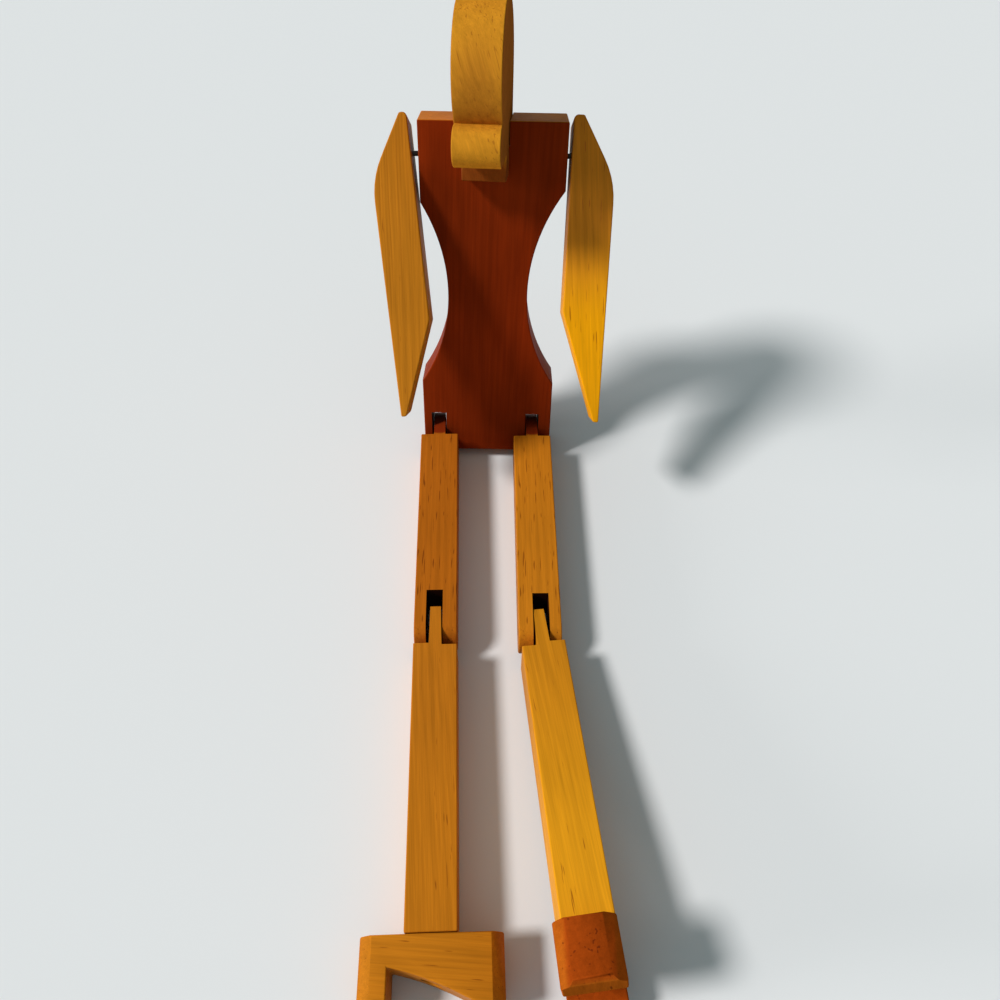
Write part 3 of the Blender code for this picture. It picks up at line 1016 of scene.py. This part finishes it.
@dataclass
class Trunk:
    """The torso board with the head lapped over its top, and the wire through it."""

    head_fibre: Vector = Vector((0.3, 0.25, -0.92))  # along +X, the torso's front and its length
    neck: Vector = Vector((-0.002, -0.0135, 0.0495))  # middle of the tab below the jaw, given painted shade of the jaw
    neck_full: float = 0.009
    neck_fade: float = 0.0145
    brow: Vector = Vector((-0.003, -0.008, 0.088))  # inside the head, behind the lower forehead
    brow_full: float = 0.0205
    brow_fade: float = 0.0255
    brow_share: float = 0.45
    cheek_full: float = 0.08  # more than the whole head
    cheek_fade: float = 0.09
    cheek_share: float = 0.75
    lap: float = 0.0538  # from the stick socket up to where the head sits on the torso
    lap_gap: float = 0.0003

    @property
    def back(self) -> Vector:
        """Direction that the torso's back looks in."""
        mounts = frame["record"]["mounts"]
        return Vector(next(m["axis"] for m in mounts if m["name"] == "torso_back"))

    @property
    def front(self) -> Vector:
        """Direction that the torso's front looks in."""
        return -self.back

    @property
    def upward(self) -> Vector:
        """Direction of the torso's length."""
        return LEFTWARD.cross(self.back)

    def build(self) -> None:
        """Make the board, the head and the wire at shoulders and hips."""
        torso = soft_board("torso")
        # paint shade into the torso's slots
        mark_hollow_shade(torso.data)
        stain = STAIN.material("torso_stain", Grain.of("torso", self.front), Sawing.FLAT)
        join_figure(torso, "torso", stain)
        self.build_head()
        for side in Side:
            WireNail(side).build()
            node = side.node("hip_pin")
            low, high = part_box(node)
            Pin(node, (low + high) / 2.0, LEFTWARD, high.x - low.x).build()

    def build_head(self) -> None:
        """Make the head, browner at the neck, the lower forehead and the broad faces."""
        head = copy_board("head")
        self.trim_nape(head)
        soften(head)
        fibre = Matrix((LEFTWARD, self.front, self.upward)).transposed() @ self.head_fibre
        grain = Grain.along_axis("head", fibre, LEFTWARD)
        pine = FACE_PINE.material("head_pine", grain, Sawing.RIFT, self.browned(grain.centre))
        join_figure(head, "head", pine)

    def browned(self, middle: Vector) -> tuple[Smear, ...]:
        """List the brown places of the head.

        Args:
            middle: Middle of the head's board.

        Returns:
            The smears of neck, brow and both broad faces.
        """
        # painted shade under the jaw
        neck = Smear(self.neck, self.neck_full, self.neck_fade, NECK_SHADE_BROWN)
        brow = Smear(
            self.brow, self.brow_full, self.brow_fade, BROW_BROWN, self.brow_share, self.front
        )
        # partly stain, partly painted shade on both broad faces
        cheek = Smear(middle, self.cheek_full, self.cheek_fade, CHEEK_BROWN, self.cheek_share)
        cheeks = (replace(cheek, facing=LEFTWARD * side.outward) for side in Side)
        return (neck, brow, *cheeks)

    def trim_nape(self, head: bpy.types.Object) -> None:
        """Saw off the splinter of the turned head that hangs down behind the torso.

        Args:
            head: The copied head, still sharp all over.
        """
        with editing(head):
            bpy.ops.mesh.bisect(plane_co=self.upward * self.lap, plane_no=self.upward)
            bpy.ops.mesh.select_all(action="DESELECT")
        behind = self.lap_gap - WELD
        for face in head.data.polygons:
            below = face.center.dot(self.upward) < self.lap - WELD
            face.select = below and face.center.dot(self.back) > behind
        bpy.ops.object.mode_set(mode="EDIT")
        bpy.ops.mesh.select_mode(type="FACE")
        bpy.ops.mesh.delete(type="FACE")
        bpy.ops.mesh.select_mode(type="VERT")
        bpy.ops.mesh.select_non_manifold()
        bpy.ops.mesh.edge_face_add()
        bpy.ops.object.mode_set(mode="OBJECT")


@dataclass
class Arm:
    """One arm, a single stick on its nail."""

    side: Side
    front: Vector
    grip_full: float = 0.03  # painted shade on the left arm, fullest near its shoulder
    grip_fade: float = 0.075
    grip_share: float = 0.6

    def build(self) -> None:
        """Make the arm."""
        node = self.side.node("arm")
        finish, browned = OCHRE, ()
        if self.side is Side.LEFT:
            finish = SUNLIT
            shoulder = Vector(joint(self.side.node("shoulder"))["pos_m"])
            # painted shade on the upper arm
            shoulder_shade = Smear(shoulder, self.grip_full, self.grip_fade, SHOULDER_SHADE_BROWN, self.grip_share)
            browned = (shoulder_shade,)
        grain = Grain.of(node, self.front)
        surface = finish.material(f"{node}_pine", grain, Sawing.QUARTER, browned)
        join_figure(soft_board(node), node, surface)


@dataclass
class Leg:
    """Thigh, shin and foot of one side, with the pin of the knee and the foot's screw."""

    side: Side
    knee_pin: float = 0.01825
    tongue: float = 0.0145  # hip pin to the end of the torso's stain on the thigh
    smear_fade: float = 0.0012
    shin_slant: float = 3.0
    knee_full: float = 0.015  # the shin is browner near the knee, lighter towards its end
    knee_fade: float = 0.11
    knee_share: float = 0.55

    def build(self) -> None:
        """Make the leg from the hip down."""
        self.build_thigh()
        self.build_shin()
        self.build_foot()

    def build_thigh(self) -> None:
        """Make the thigh, with the torso's stain on its tongue."""
        hip = Vector(joint(self.side.node("hip"))["pos_m"])
        stained = (Smear(hip, self.tongue - self.smear_fade, self.tongue, HIP_RED),)
        node = self.side.node("thigh")
        finish = AMBER if self.side is Side.RIGHT else GOLD
        surface = finish.material(f"{node}_pine", Grain.of(node, UPWARD), Sawing.RIFT, stained)
        thigh = soft_board(node)
        # paint shade into the thigh's slot
        mark_hollow_shade(thigh.data)
        join_figure(thigh, node, surface)

    def build_shin(self) -> None:
        """Make the shin, browner towards the knee, and the knee's pin."""
        node = self.side.node("shin")
        knee = joint(self.side.node("knee"))
        middle = Vector(knee["pos_m"])
        finish = TAN if self.side is Side.RIGHT else HONEY
        browned = (Smear(middle, self.knee_full, self.knee_fade, KNEE_BROWN, self.knee_share),)
        grain = Grain.of(node, UPWARD, self.shin_slant)
        surface = finish.material(f"{node}_pine", grain, Sawing.RIFT, browned)
        join_figure(soft_board(node), node, surface)
        Pin(self.side.node("knee_pin"), middle, Vector(knee["axis"]), self.knee_pin).build()

    def build_foot(self) -> None:
        """Make the foot, with its grain from heel to toe, and its screw."""
        node = self.side.node("foot")
        finish = TAN if self.side is Side.RIGHT else RUSSET
        grain = Grain.of(node, Vector(joint(self.side.node("foot_swivel"))["axis"]))
        surface = finish.material(f"{node}_pine", grain, Sawing.RIFT)
        join_figure(soft_board(node), node, surface)
        FootScrew(self.side).build()


@dataclass(frozen=True)
class Lamp:
    """A far soft lamp, which lights everything alike."""

    name: str
    way: Vector  # from the figure to the lamp
    softness: float  # degrees that the lamp takes up in the room
    level: float

    def hang(self) -> None:
        """Hang the lamp and turn it to the figure."""
        light = bpy.data.lights.new(self.name, "SUN")
        light.angle = math.radians(self.softness)
        light.energy = self.level
        lamp = bpy.data.objects.new(self.name, light)
        bpy.context.scene.collection.objects.link(lamp)
        lamp.location = self.way
        lamp.rotation_euler = self.way.to_track_quat("Z", "Y").to_euler()


HIGH_LAMP = Lamp("high_lamp", Vector((-0.683, -0.115, 0.722)), 11.0, 2.8)
LOW_LAMP = Lamp("low_lamp", Vector((-0.968, -0.125, 0.216)), 14.0, 1.05)


@dataclass
class Studio:
    """A pale floor, soft light from the left and the camera."""

    floor_half: float = 12.0
    floor_colour: Colour = (0.76, 0.75, 0.745, 1.0)
    floor_roughness: float = 0.9
    sky: Colour = (0.8, 1.0, 1.04, 1.0)
    sky_way: Vector = Vector((-0.7, 0.0, 0.7))  # where the room is lightest
    sky_light: float = 0.41  # its level there, and across the room
    sky_dim: float = 0.01
    backdrop: Colour = (0.745, 0.765, 0.765, 1.0)  # what is seen of the room
    camera_place: Vector = Vector((0.007174, -0.321442, 0.242726))
    camera_pitch: float = 54.006  # degrees below level
    camera_roll: float = 1.063
    lens: float = 28.8
    near_clip: float = 0.01

    def build(self) -> None:
        """Set the whole studio up."""
        bpy.context.scene.view_settings.view_transform = "Standard"
        self.lay_floor()
        self.light_room()
        for lamp in (HIGH_LAMP, LOW_LAMP):
            lamp.hang()
        self.set_camera()

    def lay_floor(self) -> None:
        """Lay the floor under the lowest point of the figure."""
        low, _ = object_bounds()
        bpy.ops.object.select_all(action="DESELECT")
        bpy.ops.mesh.primitive_plane_add(size=2.0 * self.floor_half, location=(0.0, 0.0, low.z))
        floor = bpy.context.active_object
        floor.name = "floor"
        sketch = Sketch("pale_floor")
        sketch.set(
            base_color=self.floor_colour,
            roughness=self.floor_roughness,
            specular_ior_level=0.0,
        )
        floor.data.materials.append(sketch.surface)
        floor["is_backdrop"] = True

    def light_room(self) -> None:
        """Light the room mostly from the upper left, and keep it pale to look at."""
        world = bpy.data.worlds.new("soft_room")
        bpy.context.scene.world = world
        world.use_nodes = True
        nodes = world.node_tree.nodes
        links = world.node_tree.links
        background = nodes["Background"]
        way = nodes.new("ShaderNodeTexCoord")
        near = nodes.new("ShaderNodeVectorMath")
        near.operation = "DOT_PRODUCT"
        links.new(way.outputs["Generated"], near.inputs[0])
        near.inputs[1].default_value = self.sky_way
        level = nodes.new("ShaderNodeMapRange")
        links.new(near.outputs["Value"], level.inputs["Value"])
        level.inputs["From Min"].default_value = -1.0
        level.inputs["To Min"].default_value = self.sky_dim
        level.inputs["To Max"].default_value = self.sky_light
        glow = nodes.new("ShaderNodeVectorMath")
        glow.operation = "SCALE"
        glow.inputs[0].default_value = self.sky[:3]
        links.new(level.outputs[0], glow.inputs["Scale"])
        path = nodes.new("ShaderNodeLightPath")
        seen = path.outputs["Is Camera Ray"]
        for ray in ("Is Glossy Ray", "Is Transmission Ray"):
            either = nodes.new("ShaderNodeMath")
            either.operation = "MAXIMUM"
            links.new(seen, either.inputs[0])
            links.new(path.outputs[ray], either.inputs[1])
            seen = either.outputs[0]
        choice = nodes.new("ShaderNodeMix")
        choice.data_type = "RGBA"
        links.new(seen, choice.inputs[MIX_SHARE])
        links.new(glow.outputs[0], choice.inputs[MIX_FIRST])
        choice.inputs[MIX_SECOND].default_value = self.backdrop
        links.new(choice.outputs[MIX_RESULT], background.inputs["Color"])

    def set_camera(self) -> None:
        """Look down at the figure from in front of its feet."""
        optics = bpy.data.cameras.new("camera")
        optics.lens = self.lens
        optics.clip_start = self.near_clip
        camera = bpy.data.objects.new("camera", optics)
        bpy.context.scene.collection.objects.link(camera)
        tilt = Matrix.Rotation(math.radians(90.0 - self.camera_pitch), 4, "X")
        roll = Matrix.Rotation(math.radians(self.camera_roll), 4, "Z")
        camera.matrix_world = Matrix.Translation(self.camera_place) @ tilt @ roll
        bpy.context.scene.camera = camera


def main() -> None:
    """Dress the figure from its trunk out to its feet and set up the studio."""
    logging.basicConfig(level=logging.INFO, format="%(name)s: %(message)s")
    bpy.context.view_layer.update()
    trunk = Trunk()
    trunk.build()
    for side in Side:
        Arm(side, trunk.front).build()
        Leg(side).build()
    Studio().build()


if __name__ == "__main__":
    main()
